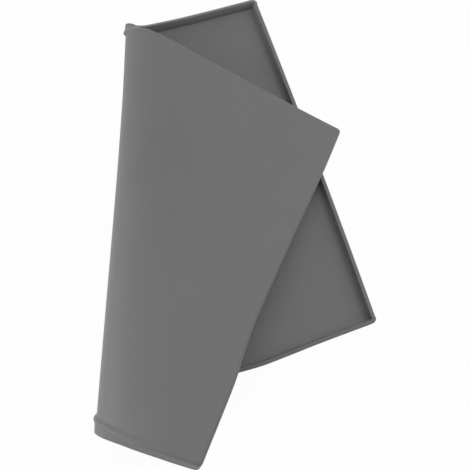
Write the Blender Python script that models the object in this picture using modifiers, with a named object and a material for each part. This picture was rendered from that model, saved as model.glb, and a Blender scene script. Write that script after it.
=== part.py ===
"""A rimmed silicone griddle mat, folded over once on itself along a conical fold.

Flat coordinates are those of the mat laid out open, underside down: X runs from the flap's free edge
to the back panel's far side, Y from the near edge to the far edge, and Z up from the underside.
The fold's hinge lines all start from one apex beyond the far edge. Azimuths are measured there, from
-Y towards +X. Each bend turns about a line on the underside, so the mat opens flat again.
"""

import math

import bmesh
import bpy
from mathutils import Vector

# The mat, in metres
MAT_LENGTH = 0.443
MAT_WIDTH = 0.400
SHEET = 0.003
RIM_HEIGHT = 0.013
CORNER_RADIUS = 0.006
EDGE_ROUND = 0.005
RIM_DRAFT = math.radians(4)

# The fold
APEX_X = 0.402
APEX_Y = 0.729
FOLD_AZIMUTH = math.radians(-21.7)
FOLD_BACK_REACH = math.radians(9.9)
FOLD_FLAP_REACH = math.radians(8.3)
FOLD_ANGLE = math.radians(188.5)
HINGES = 17
BODY_GAP = 0.0003

# In the fold the rim can't shorten, so it leans outward, most at the middle of the fold
FAR_SPLAY = math.radians(78)
NEAR_SPLAY = math.radians(78)
SPLAY_BACK_WIDTH = math.radians(2.3)
SPLAY_FLAP_WIDTH = math.radians(2.3)
SPLAY_BACK_END = math.radians(14)
SPLAY_FLAP_END = math.radians(10)

# The back panel's point that stands at the world's origin, in flat coordinates
HOME = Vector((0.345, 0.200, 0))

CORNER_STEPS = 5
ROUND_STEPS = 3
SPLAY_STATIONS = 5

SILICONE_COLOR = (0.165, 0.165, 0.165, 1)
SILICONE_ROUGHNESS = 0.55


def clear_scene():
    for obj in list(bpy.data.objects):
        bpy.data.objects.remove(obj)


def new_collection(name):
    collection = bpy.data.collections.new(name)
    bpy.context.scene.collection.children.link(collection)
    return collection


def silicone_material():
    material = bpy.data.materials.new("silicone")
    material.use_nodes = True
    shader = material.node_tree.nodes["Principled BSDF"]
    shader.inputs["Base Color"].default_value = SILICONE_COLOR
    shader.inputs["Roughness"].default_value = SILICONE_ROUGHNESS
    shader.inputs["Metallic"].default_value = 0
    return material


def bend_share(azimuth):
    """The share of the whole bend that lies between the back panel and this azimuth.

    The bend per radian rises and falls as a raised cosine on each side of the fold's middle."""
    offset = azimuth - FOLD_AZIMUTH
    reach = FOLD_BACK_REACH if offset > 0 else FOLD_FLAP_REACH
    step = min(abs(offset) / reach, 1)
    half = (step + math.sin(math.pi * step) / math.pi) * reach
    whole = FOLD_BACK_REACH + FOLD_FLAP_REACH
    return (FOLD_BACK_REACH - half) / whole if offset > 0 else (FOLD_BACK_REACH + half) / whole


def azimuth_of_share(share):
    """The inverse of bend_share, by bisection."""
    low = FOLD_AZIMUTH - FOLD_FLAP_REACH
    high = FOLD_AZIMUTH + FOLD_BACK_REACH
    for _ in range(50):
        middle = (low + high) / 2
        if bend_share(middle) > share:
            low = middle
        else:
            high = middle
    return (low + high) / 2


def ruling_direction(azimuth):
    return Vector((math.sin(azimuth), -math.cos(azimuth), 0))


def ruling_x(azimuth, y):
    return APEX_X + (APEX_Y - y) * math.tan(azimuth)


def hinge_azimuths():
    return [azimuth_of_share((k + 0.5) / HINGES) for k in range(HINGES)]


def hinge_point(azimuth):
    return Vector((ruling_x(azimuth, MAT_WIDTH / 2), MAT_WIDTH / 2, 0))


def splay_at(azimuth, most):
    """The rim's outward lean, which falls to a half at one width from the fold's middle and then tails off."""
    offset = azimuth - FOLD_AZIMUTH
    width = SPLAY_BACK_WIDTH if offset > 0 else SPLAY_FLAP_WIDTH
    return most / (1 + (offset / width) ** 2)


def splay_azimuths():
    """Where the rim's lean is set: midway along each strip, and out to where the splay has died away."""
    middles = [azimuth_of_share(k / HINGES) for k in range(1, HINGES)]
    back_end = FOLD_AZIMUTH + SPLAY_BACK_END
    flap_end = FOLD_AZIMUTH - SPLAY_FLAP_END
    back = [middles[0] + (back_end - middles[0]) * k / SPLAY_STATIONS for k in range(1, SPLAY_STATIONS + 1)]
    flap = [middles[-1] + (flap_end - middles[-1]) * k / SPLAY_STATIONS for k in range(1, SPLAY_STATIONS + 1)]
    return sorted(back + middles + flap)


def edge_stations(y, most):
    """The (x, lean) pairs along a long edge, from the free side to the far side."""
    least_x = 2 * CORNER_RADIUS
    most_x = MAT_LENGTH - 2 * CORNER_RADIUS
    stations = []
    for azimuth in splay_azimuths():
        x = ruling_x(azimuth, y)
        if least_x < x < most_x:
            stations.append((x, RIM_DRAFT + splay_at(azimuth, most)))
    return stations


def corner_lean(x, y, most):
    azimuth = math.atan2(x - APEX_X, APEX_Y - y)
    return RIM_DRAFT + splay_at(azimuth, most)


def corner_points(centre_x, centre_y, first_angle, most):
    """The (point, outward normal, lean) of one rounded corner, anticlockwise."""
    points = []
    for k in range(CORNER_STEPS + 1):
        angle = first_angle + math.pi / 2 * k / CORNER_STEPS
        normal = Vector((math.cos(angle), math.sin(angle), 0))
        point = Vector((centre_x, centre_y, 0)) + normal * CORNER_RADIUS
        along_long_edge = abs(normal.y)
        lean = RIM_DRAFT + (corner_lean(centre_x, centre_y, most) - RIM_DRAFT) * along_long_edge
        points.append((point, normal, lean))
    return points


def mat_outline():
    """The mat's outline, anticlockwise from the near edge, as (point, outward normal, lean)."""
    r = CORNER_RADIUS
    right = MAT_LENGTH - r
    top = MAT_WIDTH - r
    outline = []
    for x, lean in edge_stations(0, NEAR_SPLAY):
        outline.append((Vector((x, 0, 0)), Vector((0, -1, 0)), lean))
    outline += corner_points(right, r, -math.pi / 2, NEAR_SPLAY)
    outline += corner_points(right, top, 0, FAR_SPLAY)
    for x, lean in reversed(edge_stations(MAT_WIDTH, FAR_SPLAY)):
        outline.append((Vector((x, MAT_WIDTH, 0)), Vector((0, 1, 0)), lean))
    outline += corner_points(r, top, math.pi / 2, FAR_SPLAY)
    outline += corner_points(r, r, math.pi, NEAR_SPLAY)
    return outline


def rim_profile(lean):
    """The rim's outer face as (outward, up) points, from the underside round its edge and up the wall."""
    turn = math.pi / 2 - lean
    profile = []
    for k in range(ROUND_STEPS + 1):
        angle = turn * k / ROUND_STEPS
        profile.append((EDGE_ROUND * (math.sin(angle) - 1), EDGE_ROUND * (1 - math.cos(angle))))
    wall = (RIM_HEIGHT - EDGE_ROUND * (1 - math.sin(RIM_DRAFT))) / math.cos(RIM_DRAFT)
    out, up = profile[-1]
    profile.append((out + wall * math.sin(lean), up + wall * math.cos(lean)))
    return profile


def flat_mat_mesh(helpers):
    """The whole mat laid flat, as one closed mesh: its underside and outer rim, thickened inwards."""
    bm = bmesh.new()
    rings = []
    for point, normal, lean in mat_outline():
        profile = rim_profile(lean)
        rings.append([bm.verts.new(point + normal * out + Vector((0, 0, up))) for out, up in profile])
    for ring, following in zip(rings, rings[1:] + rings[:1]):
        for k in range(ROUND_STEPS + 1):
            bm.faces.new((ring[k], following[k], following[k + 1], ring[k + 1]))
    bm.faces.new([ring[0] for ring in reversed(rings)])
    bmesh.ops.recalc_face_normals(bm, faces=bm.faces)
    mesh = bpy.data.meshes.new("flat_mat_shell")
    bm.to_mesh(mesh)
    bm.free()
    shell = bpy.data.objects.new("flat_mat_shell", mesh)
    shell.hide_render = True
    shell.display_type = "WIRE"
    helpers.objects.link(shell)
    thicken = shell.modifiers.new("sheet", "SOLIDIFY")
    thicken.thickness = SHEET
    thicken.offset = -1
    thicken.use_even_offset = True
    graph = bpy.context.evaluated_depsgraph_get()
    return bpy.data.meshes.new_from_object(shell.evaluated_get(graph))


def cut_away(bm, point, normal):
    """Removes what lies beyond a plane, on the side that its normal points to, and closes the cut."""
    everything = bm.verts[:] + bm.edges[:] + bm.faces[:]
    cut = bmesh.ops.bisect_plane(
        bm, geom=everything, dist=1e-7, plane_co=point, plane_no=normal, clear_outer=True
    )
    edges = [item for item in cut["geom_cut"] if isinstance(item, bmesh.types.BMEdge)]
    bmesh.ops.edgenet_fill(bm, edges=edges)


def mitre_plane(azimuth, bend, side):
    """The plane that ends a body at a hinge. side is 1 at its back end and -1 at its flap end.

    The two bodies at a hinge lean apart by half the bend each, so that they meet face to face at rest."""
    towards_back = Vector((math.cos(azimuth), math.sin(azimuth), 0))
    normal = side * towards_back * math.cos(bend / 2) + Vector((0, 0, math.sin(bend / 2)))
    return hinge_point(azimuth) - normal * BODY_GAP / 2, normal


def mat_body(name, flat_mat, origin, back_azimuth, flap_azimuth, bend, collection, material):
    """One body of the mat, between two hinges, or beyond the first or last one where an azimuth is None."""
    bm = bmesh.new()
    bm.from_mesh(flat_mat)
    if back_azimuth is not None:
        cut_away(bm, *mitre_plane(back_azimuth, bend, 1))
    if flap_azimuth is not None:
        cut_away(bm, *mitre_plane(flap_azimuth, bend, -1))
    bmesh.ops.translate(bm, verts=bm.verts, vec=-origin)
    bmesh.ops.recalc_face_normals(bm, faces=bm.faces)
    mesh = bpy.data.meshes.new(name)
    bm.to_mesh(mesh)
    bm.free()
    mesh.materials.append(material)
    body = bpy.data.objects.new(name, mesh)
    collection.objects.link(body)
    return body


def fold_hinge(name, azimuth, bend, parent, parent_point, collection):
    """An empty on a hinge line, turned by the bend about it: a turn of 0 lays what it holds flat."""
    hinge = bpy.data.objects.new(name, None)
    hinge.empty_display_size = 0.02
    hinge.location = hinge_point(azimuth) - parent_point
    hinge.rotation_mode = "AXIS_ANGLE"
    hinge.rotation_axis_angle = (-bend, *ruling_direction(azimuth))
    hinge.parent = parent
    collection.objects.link(hinge)
    return hinge


def build_mat():
    collection = new_collection("griddle_mat")
    helpers = new_collection("flat_layout")
    helpers.hide_render = True
    material = silicone_material()
    flat_mat = flat_mat_mesh(helpers)
    azimuths = hinge_azimuths()
    bend = FOLD_ANGLE / HINGES
    mat_body("back_panel", flat_mat, HOME, None, azimuths[0], bend, collection, material)
    parent = None
    parent_point = HOME
    for k, azimuth in enumerate(azimuths):
        hinge = fold_hinge(f"fold_hinge_{k + 1:02d}", azimuth, bend, parent, parent_point, collection)
        last = k == HINGES - 1
        name = "front_flap" if last else f"fold_strip_{k + 1:02d}"
        flap_azimuth = None if last else azimuths[k + 1]
        origin = hinge_point(azimuth)
        body = mat_body(name, flat_mat, origin, azimuth, flap_azimuth, bend, collection, material)
        body.parent = hinge
        parent = hinge
        parent_point = origin


clear_scene()
build_mat()
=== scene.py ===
"""A rimmed silicone griddle mat, folded over once, with its floor, light and camera.

The mat's skin is made laid flat, one row of points after another along its outline, and then folded along
the same cone as the solids. Flat coordinates: X runs from the flap's free edge to the back panel's far side,
Y from the near edge to the far edge, Z up from the underside. An azimuth is the direction of a bend line as
seen from the cone's apex, 0 straight towards the near edge and larger towards the back panel. The skin is
split midway between the fold's hinge lines, so that each piece spans one hinge.
"""

import math

import bmesh
import bpy
import numpy as np
from mathutils import Matrix, Vector


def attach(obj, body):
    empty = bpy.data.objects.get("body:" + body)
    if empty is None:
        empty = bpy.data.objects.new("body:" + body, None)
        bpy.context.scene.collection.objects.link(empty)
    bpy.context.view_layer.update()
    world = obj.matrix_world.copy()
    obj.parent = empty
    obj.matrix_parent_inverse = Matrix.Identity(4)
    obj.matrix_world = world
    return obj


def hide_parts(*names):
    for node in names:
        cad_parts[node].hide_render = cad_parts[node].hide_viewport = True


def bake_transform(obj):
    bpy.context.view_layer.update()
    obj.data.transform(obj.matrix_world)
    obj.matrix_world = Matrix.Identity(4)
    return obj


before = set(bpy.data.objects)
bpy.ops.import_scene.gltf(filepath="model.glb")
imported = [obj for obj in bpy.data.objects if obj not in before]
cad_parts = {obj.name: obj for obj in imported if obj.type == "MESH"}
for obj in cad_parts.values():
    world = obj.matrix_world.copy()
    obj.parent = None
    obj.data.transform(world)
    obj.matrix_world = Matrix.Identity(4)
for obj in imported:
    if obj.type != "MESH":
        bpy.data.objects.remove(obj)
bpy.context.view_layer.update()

QUARTER_TURN = math.pi / 2

# The mat, in metres, as the solids have it
MAT_LENGTH = 0.443
MAT_WIDTH = 0.400
SHEET = 0.003
RIM_HEIGHT = 0.013
RIM_DRAFT = math.radians(4)
HOME = np.array((0.345, 0.200, 0))

# The fold, as the solids have it
APEX = np.array((0.402, 0.729, 0))
FOLD_AZIMUTH = math.radians(-21.7)
FOLD_BACK_REACH = math.radians(9.9)
FOLD_FLAP_REACH = math.radians(8.3)
FOLD_ANGLE = math.radians(188.5)
HINGES = 17
SPLAY_WIDTH = math.radians(2.3)
SPLAY_BACK_END = math.radians(14)
SPLAY_FLAP_END = math.radians(10)

# The skin's section: tighter corners and edges than the solids have, and a thicker rim
CORNER_RADIUS = 0.0045
EDGE_ROUND = 0.0035
TOP_ROUND = 0.0004
RIM_THICK = 0.0043
THICKEN_LENGTH = 0.006
TIGHTEST_BEND = 0.97
INNER_ROUNDING = 6
INNER_LOWEST = 0.0026
CORNER_INSET = 0.0008
INSET_FADE = 0.025

# How far the back's rim leans outward, away from the fold
FAR_LEAN = math.radians(21)
NEAR_LEAN = math.radians(13)
LEAN_START = 0.27
LEAN_FADE = 0.05

# How the rim gives way outward and flares at the fold's two ends
SPLAY = math.radians(84)
FLARE_ANGLE = math.radians(52)
FLARE_LENGTH = 0.0036
FLARE_REACH = 0.7
SPLAYED_TURN = math.radians(80)
SPLAYED_ARC = 0.0034
RELAX_LENGTH = 0.004

# How finely the skin is divided
FLARE_STEPS = 7
ARC_STEPS = 8
WALL_STEPS = 12
TOP_STEPS = 3
CORNER_STEPS = 9
STRIP_STEPS = 6
BACK_LEAD_STEPS = 4
FLAP_LEAD_STEPS = 3
SPLAY_FLAP_STEPS = 6
SPLAY_BACK_STEPS = 8
PLAIN_FLAP_STEPS = 12
PLAIN_BACK_STEPS = 20
FREE_EDGE_STEPS = 40
BACK_EDGE_STEPS = 32
CROSS_CUTS = 16
FOLD_STATIONS = 340
HALVINGS = 50
SAME_POINT = 2e-6
CORNER_CLEARANCE = 2 * CORNER_RADIUS
PLAIN_START = 2.2 * CORNER_RADIUS

# Where the bounds between pieces are marked: the point whose distance from the apex is taken along each bound
BEND_MEASURED_AT = (0.20, 0.33)

# How the soft mat has given way. Along each long edge: (x, shift towards the far side)
NEAR_EDGE_WAVE = ((0, 0.0030), (0.03, 0.0000), (0.06, -0.0015), (0.09, -0.0004), (0.115, 0.0002),
                  (0.20, 0.0000), (0.27, -0.0011), (0.308, -0.0013), (0.34, 0.0002), (0.376, 0.0024),
                  (0.443, 0.0052))
FAR_EDGE_WAVE = ((0, 0.0012), (0.045, 0.0006), (0.15, 0.0017), (0.23, 0.0016), (0.27, -0.0062),
                 (0.287, -0.0037), (0.31, -0.0045), (0.36, -0.0041), (0.443, -0.0007))
# Along the flap's free edge: (share of the way to the near corner, shift towards the back)
FREE_EDGE_WAVE = ((0, -0.0019), (0.13, -0.0018), (0.22, -0.0006), (0.40, 0.0014), (0.56, 0.0027),
                  (0.64, 0.0031), (0.73, 0.0011), (0.79, -0.0013), (0.88, -0.0021), (1, -0.0026))
# Along the fold: (y, shift of the bend towards the back)
FOLD_WAVE = ((0, -0.0024), (0.07, -0.0014), (0.18, 0.0005), (0.25, 0.0014), (0.33, 0.0014),
             (0.38, 0.0003), (0.4, 0.0003))
# The back's far side: how far its ends stand in, and how far its middle bows out
BACK_EDGE_IN = 0.0009
BACK_EDGE_BOW = 0.0017

# The silicone: its darkest and lightest grey, and the roughness that goes with them
DARK_GREY = (0.146, 0.146, 0.146, 1)
LIGHT_GREY = (0.179, 0.179, 0.179, 1)
ROUGHNESS = (0.46, 0.58)
GRAIN_CONTRAST = (0.965, 1.035)
RELIEF_DEPTH = 0.00006

# The floor and the world: white to the camera, and a pale bounce or a faint glow to the mat
FLOOR_HALF = 6
FLOOR_LEVEL = -0.0003
FLOOR_GREY = (0.86, 0.86, 0.86, 1)
FLOOR_WHITE_SHARE = 0.965
WORLD_GLOW = 0.02

# The lamps: name, place, the point it is aimed at, size in metres, power in watts
CENTRE = (0.0, 0.0, 0.02)
LAMPS = (("low_left", (-1.7, 0.2, 0.35), CENTRE, 1.0, 17.5),
         ("low_far", (0.0, 1.7, 0.45), CENTRE, 1.0, 5.0),
         ("above", (0.0, 0.0, 2.0), CENTRE, 1.0, 6.6),
         ("high_left", (-0.9, 0.0, 1.7), CENTRE, 1.0, 6.0),
         ("high_right", (0.9, 0.0, 1.7), CENTRE, 1.0, 8.2),
         ("close_right", (0.9, -0.3, 0.4), (0.05, -0.05, 0.02), 0.5, 2.0),
         ("far_right", (1.1, 1.1, 1.0), CENTRE, 1.0, 3.5),
         ("near_left", (-1.1, -1.1, 1.0), CENTRE, 1.0, 4.2))

# The camera: angles in radians, lengths in units of which the mat is 340 wide, and the image in pixels
UNITS_ACROSS = 340
CAMERA_TILT = Vector((-0.3019, 0.1336, 0))
CAMERA_ROLL = math.radians(20.5) - 0.0545
CAMERA_SHIFT = Vector((-110.1314, 18.2135, 0))
CAMERA_DISTANCE = 702.0
IMAGE_SIZE = 470
FOCAL_PIXELS = 777.85
IMAGE_CENTRE = (6.2544, -5.6589)
SENSOR_WIDTH = 36
NEAREST_SEEN = 0.01


def smooth(t):
    t = min(max(t, 0.0), 1.0)
    return t * t * (3 - 2 * t)


def mix(a, b, t):
    return a + (b - a) * t


def along_wave(marks, x):
    """The value at x of a smooth curve through these (x, value) marks."""
    xs = [mark[0] for mark in marks]
    values = [mark[1] for mark in marks]
    x = min(max(x, xs[0]), xs[-1])
    slopes = [(values[min(k + 1, len(xs) - 1)] - values[max(k - 1, 0)]) /
              (xs[min(k + 1, len(xs) - 1)] - xs[max(k - 1, 0)]) for k in range(len(xs))]
    k = max(i for i in range(len(xs) - 1) if xs[i] <= x)
    width = xs[k + 1] - xs[k]
    t = (x - xs[k]) / width
    ends = mix(values[k], values[k + 1], smooth(t))
    return ends + width * (slopes[k] * t * (1 - t) ** 2 - slopes[k + 1] * t * t * (1 - t))


def bend_share(azimuth):
    """The share of the whole bend that lies between the back panel and this azimuth."""
    offset = azimuth - FOLD_AZIMUTH
    reach = FOLD_BACK_REACH if offset > 0 else FOLD_FLAP_REACH
    step = min(abs(offset) / reach, 1)
    half = (step + math.sin(math.pi * step) / math.pi) * reach
    whole = FOLD_BACK_REACH + FOLD_FLAP_REACH
    return (FOLD_BACK_REACH - half) / whole if offset > 0 else (FOLD_BACK_REACH + half) / whole


def azimuth_of_share(share):
    """The azimuth where this share of the bend is reached, found by halving."""
    low = FOLD_AZIMUTH - FOLD_FLAP_REACH
    high = FOLD_AZIMUTH + FOLD_BACK_REACH
    for _ in range(HALVINGS):
        middle = (low + high) / 2
        if bend_share(middle) > share:
            low = middle
        else:
            high = middle
    return (low + high) / 2


def splay_share(azimuth):
    """How far the rim has given way outward: 1 at the fold's middle, a half at one width from it."""
    return 1 / (1 + ((azimuth - FOLD_AZIMUTH) / SPLAY_WIDTH) ** 2)


def azimuths_of(points):
    return np.arctan2(points[:, 0] - APEX[0], APEX[1] - points[:, 1])


def edge_x(azimuth, y):
    """The x where the bend line with this azimuth crosses this y."""
    return APEX[0] + (APEX[1] - y) * math.tan(azimuth)


def turns(axes, angles):
    """One rotation matrix for each unit axis and angle."""
    c = np.cos(angles)[:, None, None]
    s = np.sin(angles)[:, None, None]
    x, y, z = axes.T
    zero = np.zeros_like(x)
    cross = np.array([[zero, -z, y], [z, zero, -x], [-y, x, zero]]).transpose(2, 0, 1)
    outer = axes[:, :, None] * axes[:, None, :]
    return np.eye(3) * c + cross * s + outer * (1 - c)


def rulings(azimuths):
    """The directions of the bend lines with these azimuths, from the apex."""
    return np.stack([np.sin(azimuths), -np.cos(azimuths), np.zeros_like(azimuths)], axis=1)


def fold_frames():
    """The azimuths of evenly bent stations through the fold, and the mat's rotation at each."""
    azimuths = np.array([azimuth_of_share(k / FOLD_STATIONS) for k in range(FOLD_STATIONS + 1)])
    axes = rulings((azimuths[:-1] + azimuths[1:]) / 2)
    steps = turns(axes, np.full(FOLD_STATIONS, -FOLD_ANGLE / FOLD_STATIONS))
    rotations = [np.eye(3)]
    for step in steps:
        rotations.append(rotations[-1] @ step)
    return azimuths, np.array(rotations)


STATION_AZIMUTHS, STATION_ROTATIONS = fold_frames()


def folded(points):
    """Takes points of the mat laid flat to where they are at rest, in the row frame."""
    points = np.asarray(points, float)
    azimuths = np.clip(azimuths_of(points), STATION_AZIMUTHS[-1], STATION_AZIMUTHS[0])
    shares = np.array([bend_share(azimuth) for azimuth in azimuths])
    station = np.clip((shares * FOLD_STATIONS).astype(int), 0, FOLD_STATIONS - 1)
    rest = (shares * FOLD_STATIONS - station) * FOLD_ANGLE / FOLD_STATIONS
    local = turns(rulings((azimuths + STATION_AZIMUTHS[station]) / 2), -rest)
    rotation = STATION_ROTATIONS[station] @ local
    placed = np.einsum("nij,nj->ni", rotation, points - APEX) + APEX - HOME
    shifts = np.array([along_wave(FOLD_WAVE, y) for y in points[:, 1]])
    placed[:, 0] += 4 * shares * (1 - shares) * shifts
    return placed


def piece_bounds():
    """The azimuths that part the skin: midway between hinges, and as far beyond the first and last ones."""
    hinges = [azimuth_of_share((k + 0.5) / HINGES) for k in range(HINGES)]
    middles = [azimuth_of_share(k / HINGES) for k in range(1, HINGES)]
    return [2 * hinges[0] - middles[0]] + middles + [2 * hinges[-1] - middles[-1]]


BOUNDS = piece_bounds()


def ruling_azimuths():
    """The azimuths where the skin gets a row of points from edge to edge, largest first."""
    fold_start = FOLD_AZIMUTH + FOLD_BACK_REACH
    found = [mix(fold_start, BOUNDS[0], k / BACK_LEAD_STEPS) for k in range(BACK_LEAD_STEPS)]
    for k in range(HINGES):
        first = bend_share(BOUNDS[k])
        last = bend_share(BOUNDS[k + 1])
        found += [azimuth_of_share(mix(first, last, j / STRIP_STEPS)) for j in range(STRIP_STEPS)]
    return found + [BOUNDS[-1]]


RULINGS = ruling_azimuths()


def rounded(points, passes):
    """These points with the corners between them worn down, both ends kept."""
    points = np.array(points)
    for _ in range(passes):
        points[1:-1] = (points[:-2] + 2 * points[1:-1] + points[2:]) / 4
    return points


def rim_profile(splay, lean, inset):
    """The rim's section as (outward, up) points, from the underside over the rim to the sheet's upper face.

    splay is 0 away from the fold and 1 at its middle, where the corner of the section turns as a whole: the
    sheet flares out before it, and the wall bends back after it."""
    flare = FLARE_ANGLE * splay
    turn = mix(QUARTER_TURN - RIM_DRAFT, SPLAYED_TURN, splay)
    arc = mix(EDGE_ROUND * (QUARTER_TURN - RIM_DRAFT), SPLAYED_ARC, splay)
    wall = (RIM_HEIGHT - EDGE_ROUND * (1 - math.sin(RIM_DRAFT))) / math.cos(RIM_DRAFT) - TOP_ROUND
    end_angle = QUARTER_TURN - lean
    lengths = []
    angles = []
    for k in range(FLARE_STEPS):
        lengths.append(inset / FLARE_STEPS)
        angles.append(-flare * smooth((k + 0.5) / FLARE_STEPS / FLARE_REACH))
    for k in range(ARC_STEPS):
        lengths.append(arc / ARC_STEPS)
        angles.append(-flare + turn * (k + 0.5) / ARC_STEPS)
    for k in range(WALL_STEPS):
        lengths.append(wall / WALL_STEPS)
        along = wall * (k + 0.5) / WALL_STEPS
        angles.append(mix(turn - flare, end_angle, smooth(along / RELAX_LENGTH)))
    outer = [(-EDGE_ROUND - inset, 0.0)]
    for length, angle in zip(lengths, angles):
        out, up = outer[-1]
        outer.append((out + length * math.cos(angle), up + length * math.sin(angle)))
    at_points = [0.0] + [(a + b) / 2 for a, b in zip(angles, angles[1:])] + [angles[-1]]
    inner = []
    way = -inset
    for (out, up), angle, length in zip(outer, at_points, lengths + [0]):
        thick = mix(SHEET, RIM_THICK, smooth((way - arc) / THICKEN_LENGTH))
        if 0 < way < arc:
            thick = min(thick, TIGHTEST_BEND * arc / turn)
        inner.append((out - thick * math.sin(angle), up + thick * math.cos(angle)))
        way += length
    inner = [(out, max(up, INNER_LOWEST)) for out, up in rounded(inner, INNER_ROUNDING)]
    along = np.array((math.cos(angles[-1]), math.sin(angles[-1])))
    across = np.array((-along[1], along[0]))
    foot = np.array(outer[-1])
    top = []
    for k in range(1, TOP_STEPS + 1):
        angle = QUARTER_TURN * k / TOP_STEPS
        top.append(foot + TOP_ROUND * (across * (1 - math.cos(angle)) + along * math.sin(angle)))
    for k in range(TOP_STEPS):
        angle = QUARTER_TURN * k / TOP_STEPS
        shift = across * (RIM_THICK - TOP_ROUND + TOP_ROUND * math.sin(angle))
        top.append(foot + shift + along * TOP_ROUND * math.cos(angle))
    return outer + [tuple(point) for point in top] + inner[::-1]


def lean_at(x, facing, splay):
    """How far the rim leans outward here: facing is 1 where it faces the far side and -1 the near one."""
    given_way = FAR_LEAN if facing > 0 else NEAR_LEAN
    return RIM_DRAFT + SPLAY * splay + given_way * abs(facing) * smooth((x - LEAN_START) / LEAN_FADE)


def inset_at(distance):
    """How far in from the rounded edge the section starts, at this distance from the mat's end."""
    return mix(CORNER_INSET, FLARE_LENGTH, smooth((distance - CORNER_RADIUS) / INSET_FADE))


def plain_azimuths(y, azimuths):
    """Adds evenly spaced azimuths to these, from both ends of them to the mat's corners."""
    first = math.atan2(PLAIN_START - APEX[0], APEX[1] - y)
    last = math.atan2(MAT_LENGTH - PLAIN_START - APEX[0], APEX[1] - y)
    before = []
    if first < azimuths[0]:
        before = [mix(first, azimuths[0], k / PLAIN_FLAP_STEPS) for k in range(PLAIN_FLAP_STEPS)]
    after = [mix(azimuths[-1], last, k / PLAIN_BACK_STEPS) for k in range(1, PLAIN_BACK_STEPS + 1)]
    return before + azimuths + after


def long_edge(y):
    """The stations of a long edge from the flap's side to the back's: (foot, outward, splay, lean, inset)."""
    side = -1 if y == 0 else 1
    wave = NEAR_EDGE_WAVE if y == 0 else FAR_EDGE_WAVE
    back_end = FOLD_AZIMUTH + SPLAY_BACK_END
    flap_end = FOLD_AZIMUTH - SPLAY_FLAP_END
    azimuths = [mix(flap_end, RULINGS[-1], k / SPLAY_FLAP_STEPS) for k in range(SPLAY_FLAP_STEPS)]
    azimuths += RULINGS[::-1]
    azimuths += [mix(RULINGS[0], back_end, k / SPLAY_BACK_STEPS) for k in range(1, SPLAY_BACK_STEPS + 1)]
    stations = []
    for azimuth in plain_azimuths(y, azimuths):
        x = edge_x(azimuth, y)
        if not CORNER_CLEARANCE < x < MAT_LENGTH - CORNER_CLEARANCE:
            continue
        splay = splay_share(azimuth)
        outward = (side * -math.tan(azimuth), side)
        foot_y = y + along_wave(wave, x)
        foot = (edge_x(azimuth, foot_y), foot_y)
        inset = inset_at(min(x, MAT_LENGTH - x))
        stations.append((foot, outward, splay, lean_at(x, side, splay), inset))
    return stations


def corner(centre_x, centre_y, first_angle):
    """The stations of one rounded corner, anticlockwise."""
    splay_here = splay_share(math.atan2(centre_x - APEX[0], APEX[1] - centre_y))
    stations = []
    for k in range(CORNER_STEPS + 1):
        angle = first_angle + QUARTER_TURN * k / CORNER_STEPS
        normal = (math.cos(angle), math.sin(angle))
        foot = (centre_x + normal[0] * CORNER_RADIUS, centre_y + normal[1] * CORNER_RADIUS)
        splay = splay_here * abs(normal[1])
        stations.append((foot, normal, splay, lean_at(centre_x, normal[1], splay), CORNER_INSET))
    return stations


def free_edge(far, near):
    """The stations along the flap's free side, which waves in and out."""
    stations = []
    for k in range(1, FREE_EDGE_STEPS):
        share = k / FREE_EDGE_STEPS
        foot = (along_wave(FREE_EDGE_WAVE, share), mix(far, near, share))
        inset = inset_at(min(foot[1], MAT_WIDTH - foot[1]))
        stations.append((foot, (-1, 0), 0.0, RIM_DRAFT, inset))
    return stations


def back_edge(near, far):
    """The stations along the back's far side, which bows out a little."""
    stations = []
    for k in range(1, BACK_EDGE_STEPS):
        share = k / BACK_EDGE_STEPS
        x = MAT_LENGTH - BACK_EDGE_IN + BACK_EDGE_BOW * (4 * share * (1 - share))
        y = mix(near, far, share)
        stations.append(((x, y), (1, 0), 0.0, RIM_DRAFT, inset_at(min(y, MAT_WIDTH - y))))
    return stations


def outline():
    """All stations round the mat, anticlockwise from the near edge."""
    far_left_x = CORNER_RADIUS + FREE_EDGE_WAVE[0][1]
    near_left_x = CORNER_RADIUS + FREE_EDGE_WAVE[-1][1]
    right = MAT_LENGTH - BACK_EDGE_IN - CORNER_RADIUS
    near_left = CORNER_RADIUS + NEAR_EDGE_WAVE[0][1]
    near_right = CORNER_RADIUS + NEAR_EDGE_WAVE[-1][1]
    far_left = MAT_WIDTH - CORNER_RADIUS + FAR_EDGE_WAVE[0][1]
    far_right = MAT_WIDTH - CORNER_RADIUS + FAR_EDGE_WAVE[-1][1]
    stations = long_edge(0)
    stations += corner(right, near_right, -QUARTER_TURN)
    stations += back_edge(near_right, far_right)
    stations += corner(right, far_right, 0)
    stations += long_edge(MAT_WIDTH)[::-1]
    stations += corner(far_left_x, far_left, QUARTER_TURN)
    stations += free_edge(far_left, near_left)
    stations += corner(near_left_x, near_left, 2 * QUARTER_TURN)
    return stations


def cut_through(bm, point, normal):
    """Cuts every face that crosses this plane in two."""
    everything = bm.verts[:] + bm.edges[:] + bm.faces[:]
    bmesh.ops.bisect_plane(bm, geom=everything, dist=SAME_POINT, plane_co=point, plane_no=normal)


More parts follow.
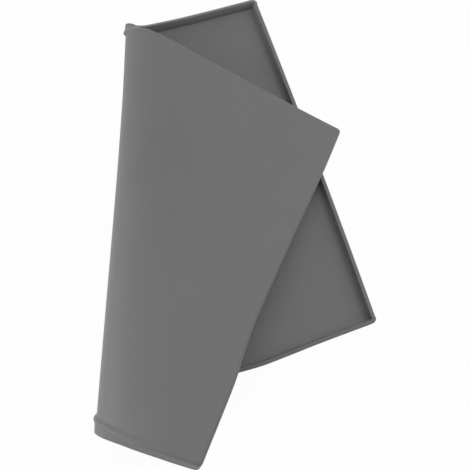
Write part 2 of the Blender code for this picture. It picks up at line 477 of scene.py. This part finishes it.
def flat_skin():
    """The whole skin laid flat, as one closed mesh, cut along the rulings through the fold."""
    bm = bmesh.new()
    rings = []
    for (x, y), (out_x, out_y), splay, lean, inset in outline():
        profile = rim_profile(splay, lean, inset)
        rings.append([bm.verts.new((x + out_x * out, y + out_y * out, up)) for out, up in profile])
    for ring, following in zip(rings, rings[1:] + rings[:1]):
        for a, b in zip(range(len(ring) - 1), range(1, len(ring))):
            bm.faces.new((ring[a], following[a], following[b], ring[b]))
    bm.faces.new([ring[0] for ring in reversed(rings)])
    bm.faces.new([ring[-1] for ring in rings])
    fold_end = FOLD_AZIMUTH - FOLD_FLAP_REACH
    beyond = [mix(RULINGS[-1], fold_end, k / FLAP_LEAD_STEPS) for k in range(1, FLAP_LEAD_STEPS + 1)]
    for azimuth in RULINGS + beyond:
        cut_through(bm, Vector(APEX), Vector((math.cos(azimuth), math.sin(azimuth), 0)))
    for k in range(1, CROSS_CUTS):
        cut_through(bm, (0, MAT_WIDTH * k / CROSS_CUTS, 0), (0, 1, 0))
    bmesh.ops.recalc_face_normals(bm, faces=bm.faces)
    return bm


def silicone():
    """Matt moulded silicone: faint clouds of tone and roughness, with a fine grain and a finer relief."""
    material = bpy.data.materials.new("moulded_silicone")
    material.use_nodes = True
    nodes = material.node_tree.nodes
    links = material.node_tree.links
    shader = nodes["Principled BSDF"]
    shader.inputs["Metallic"].default_value = 0
    shader.inputs["IOR"].default_value = 1.41
    shader.inputs["Specular IOR Level"].default_value = 0.35
    shader.inputs["Sheen Weight"].default_value = 0.12
    shader.inputs["Sheen Roughness"].default_value = 0.5
    place = nodes.new("ShaderNodeTexCoord")

    def noise(scale, detail, roughness):
        node = nodes.new("ShaderNodeTexNoise")
        node.inputs["Scale"].default_value = scale
        node.inputs["Detail"].default_value = detail
        node.inputs["Roughness"].default_value = roughness
        links.new(place.outputs["Object"], node.inputs["Vector"])
        return node.outputs["Fac"]

    def spread(source, lowest, highest, results):
        """What runs between the two results as the source goes from lowest to highest."""
        node = nodes.new("ShaderNodeMapRange")
        node.inputs["From Min"].default_value = lowest
        node.inputs["From Max"].default_value = highest
        node.inputs["To Min"].default_value = results[0]
        node.inputs["To Max"].default_value = results[1]
        links.new(source, node.inputs["Value"])
        return node.outputs["Result"]

    clouds = noise(scale=14, detail=4, roughness=0.55)
    grain = noise(scale=900, detail=3, roughness=0.6)
    pores = noise(scale=2600, detail=2, roughness=0.5)
    tone = nodes.new("ShaderNodeMix")
    tone.data_type = "RGBA"
    tone.inputs["A"].default_value = DARK_GREY
    tone.inputs["B"].default_value = LIGHT_GREY
    links.new(clouds, tone.inputs["Factor"])
    speck = spread(grain, 0.35, 0.65, GRAIN_CONTRAST)
    dusted = nodes.new("ShaderNodeVectorMath")
    dusted.operation = "SCALE"
    links.new(tone.outputs["Result"], dusted.inputs["Vector"])
    links.new(speck, dusted.inputs["Scale"])
    links.new(dusted.outputs["Vector"], shader.inputs["Base Color"])
    links.new(spread(clouds, 0.3, 0.7, ROUGHNESS), shader.inputs["Roughness"])
    relief = nodes.new("ShaderNodeMath")
    relief.operation = "MULTIPLY_ADD"
    relief.inputs[1].default_value = 0.5
    links.new(pores, relief.inputs[0])
    links.new(grain, relief.inputs[2])
    bump = nodes.new("ShaderNodeBump")
    bump.inputs["Strength"].default_value = 0.35
    bump.inputs["Distance"].default_value = RELIEF_DEPTH
    links.new(relief.outputs["Value"], bump.inputs["Height"])
    links.new(bump.outputs["Normal"], shader.inputs["Normal"])
    return material


def skin_piece(whole, index, name, material):
    """The part of the folded skin with this index, as a closed object whose cut ends meet its neighbours'."""
    bm = whole.copy()
    part_of = bm.faces.layers.int["piece"]
    full_normal = bm.verts.layers.float_vector["full_normal"]
    others = [face for face in bm.faces if face[part_of] != index]
    bmesh.ops.delete(bm, geom=others, context="FACES")
    skin_count = len(bm.faces)
    open_edges = [edge for edge in bm.edges if edge.is_boundary]
    bmesh.ops.holes_fill(bm, edges=open_edges, sides=0)
    bmesh.ops.recalc_face_normals(bm, faces=bm.faces)
    bm.faces.index_update()
    # The cut ends are flat, and the skin keeps the normals that it has as a whole
    normals = []
    for face in bm.faces:
        face.smooth = True
        is_cut_end = face.index >= skin_count
        for vertex in face.verts:
            normals.append(face.normal.copy() if is_cut_end else vertex[full_normal].copy())
    bm.verts.layers.float_vector.remove(full_normal)
    bm.faces.layers.int.remove(bm.faces.layers.int["piece"])
    mesh = bpy.data.meshes.new(name)
    bm.to_mesh(mesh)
    bm.free()
    mesh.materials.append(material)
    mesh.normals_split_custom_set(normals)
    piece = bpy.data.objects.new(name, mesh)
    bpy.context.scene.collection.objects.link(piece)
    return piece


def seam_points(whole, part_of):
    """The points of the folded skin that neighbouring pieces share, one list for each seam."""
    seams = [[] for _ in range(HINGES + 1)]
    for vertex in whole.verts:
        owners = {face[part_of] for face in vertex.link_faces}
        if len(owners) > 1:
            seams[min(owners)].append(vertex.co.copy())
    return seams


def dress_mat():
    """The folded skin in pieces: one for the back, one for each hinge, and one for the flap."""
    whole = flat_skin()
    part_of = whole.faces.layers.int.new("piece")
    centres = np.array([face.calc_center_median() for face in whole.faces])
    # A face belongs to the piece whose bounds its azimuth lies between
    for face, azimuth in zip(whole.faces, azimuths_of(centres)):
        face[part_of] = sum(1 for bound in BOUNDS if azimuth < bound)
    flat_points = np.array([vertex.co for vertex in whole.verts])
    for vertex, point in zip(whole.verts, folded(flat_points)):
        vertex.co = point
    whole.normal_update()
    full_normal = whole.verts.layers.float_vector.new("full_normal")
    for vertex in whole.verts:
        vertex[full_normal] = vertex.normal
    material = silicone()
    bodies = ["back_panel"] + [f"fold_strip_{k:02d}" for k in range(1, HINGES)] + ["front_flap"]
    from_apex = math.hypot(APEX[0] - BEND_MEASURED_AT[0], APEX[1] - BEND_MEASURED_AT[1])
    marks = [Vector(mark) for mark in folded(APEX + rulings(np.array(BOUNDS)) * from_apex)]
    seams = seam_points(whole, part_of)
    for index in range(HINGES + 2):
        if index == 0:
            piece = skin_piece(whole, index, "mat_back", material)
            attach(piece, "back_panel")
            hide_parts("back_panel")
        elif index == HINGES + 1:
            piece = skin_piece(whole, index, "mat_flap", material)
            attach(piece, "front_flap")
            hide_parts("front_flap")
        else:
            piece = skin_piece(whole, index, f"mat_bend_{index:02d}", material)
            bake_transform(piece)
            if index < HINGES:
                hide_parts(bodies[index])
    whole.free()


def direct_rays(nodes, links):
    """A socket that is 1 for camera, glossy and transmission rays, and 0 for the rest."""
    rays = nodes.new("ShaderNodeLightPath")
    total = rays.outputs["Is Camera Ray"]
    for kind in ("Is Glossy Ray", "Is Transmission Ray"):
        either = nodes.new("ShaderNodeMath")
        either.operation = "MAXIMUM"
        links.new(total, either.inputs[0])
        links.new(rays.outputs[kind], either.inputs[1])
        total = either.outputs["Value"]
    return total


def pale_floor():
    """The floor, which direct rays see nearly as plain white."""
    mesh = bpy.data.meshes.new("floor")
    corners = [(-FLOOR_HALF, -FLOOR_HALF, 0), (FLOOR_HALF, -FLOOR_HALF, 0),
               (FLOOR_HALF, FLOOR_HALF, 0), (-FLOOR_HALF, FLOOR_HALF, 0)]
    mesh.from_pydata(corners, [], [(0, 1, 2, 3)])
    floor = bpy.data.objects.new("floor", mesh)
    floor.location.z = FLOOR_LEVEL
    bpy.context.scene.collection.objects.link(floor)
    material = bpy.data.materials.new("pale_floor")
    material.use_nodes = True
    nodes = material.node_tree.nodes
    links = material.node_tree.links
    shader = nodes["Principled BSDF"]
    shader.inputs["Base Color"].default_value = FLOOR_GREY
    shader.inputs["Roughness"].default_value = 0.9
    shader.inputs["Specular IOR Level"].default_value = 0
    white = nodes.new("ShaderNodeEmission")
    white.inputs["Strength"].default_value = 1
    seen = nodes.new("ShaderNodeMath")
    seen.operation = "MULTIPLY"
    seen.inputs[1].default_value = FLOOR_WHITE_SHARE
    links.new(direct_rays(nodes, links), seen.inputs[0])
    choose = nodes.new("ShaderNodeMixShader")
    links.new(seen.outputs["Value"], choose.inputs["Fac"])
    links.new(shader.outputs["BSDF"], choose.inputs[1])
    links.new(white.outputs["Emission"], choose.inputs[2])
    links.new(choose.outputs["Shader"], nodes["Material Output"].inputs["Surface"])
    mesh.materials.append(material)


def studio_world():
    """The world, which direct rays see as plain white and which otherwise only glows a little."""
    world = bpy.data.worlds.new("studio")
    bpy.context.scene.world = world
    world.use_nodes = True
    nodes = world.node_tree.nodes
    links = world.node_tree.links
    ambient = nodes["Background"]
    ambient.inputs["Color"].default_value = (1, 1, 1, 1)
    ambient.inputs["Strength"].default_value = WORLD_GLOW
    backdrop = nodes.new("ShaderNodeBackground")
    backdrop.inputs["Color"].default_value = (1, 1, 1, 1)
    backdrop.inputs["Strength"].default_value = 1
    choose = nodes.new("ShaderNodeMixShader")
    links.new(direct_rays(nodes, links), choose.inputs["Fac"])
    links.new(ambient.outputs["Background"], choose.inputs[1])
    links.new(backdrop.outputs["Background"], choose.inputs[2])
    links.new(choose.outputs["Shader"], nodes["World Output"].inputs["Surface"])


def studio_lamps():
    for name, place, aim, size, watts in LAMPS:
        data = bpy.data.lights.new(name, "AREA")
        data.shape = "SQUARE"
        data.size = size
        data.energy = watts
        lamp = bpy.data.objects.new(name, data)
        lamp.location = place
        direction = Vector(aim) - Vector(place)
        lamp.rotation_euler = direction.to_track_quat("-Z", "Y").to_euler()
        bpy.context.scene.collection.objects.link(lamp)


def photo_camera():
    """The camera that the photo was taken from, from a fit of the mat's outline."""
    unit = MAT_WIDTH / UNITS_ACROSS
    tilt = Matrix.Rotation(CAMERA_TILT.length, 3, CAMERA_TILT.normalized())
    turn = tilt @ Matrix.Rotation(CAMERA_ROLL, 3, "Z")
    back_turn = turn.transposed()
    target = Vector((MAT_LENGTH / unit / 2, UNITS_ACROSS / 2, 0))
    from_target = back_turn @ Vector((-CAMERA_SHIFT.x, -CAMERA_SHIFT.y, CAMERA_DISTANCE))
    spot = (target + from_target) * unit - Vector(HOME)
    data = bpy.data.cameras.new("photo_camera")
    data.sensor_fit = "HORIZONTAL"
    data.sensor_width = SENSOR_WIDTH
    data.lens = data.sensor_width * FOCAL_PIXELS / IMAGE_SIZE
    data.shift_x = -IMAGE_CENTRE[0] / IMAGE_SIZE
    data.shift_y = IMAGE_CENTRE[1] / IMAGE_SIZE
    data.clip_start = NEAREST_SEEN
    camera = bpy.data.objects.new("photo_camera", data)
    camera.matrix_world = Matrix.Translation(spot) @ back_turn.to_4x4()
    bpy.context.scene.collection.objects.link(camera)
    bpy.context.scene.camera = camera


photo_camera()
dress_mat()
pale_floor()
studio_world()
studio_lamps()
bpy.context.scene.view_settings.view_transform = "Standard"
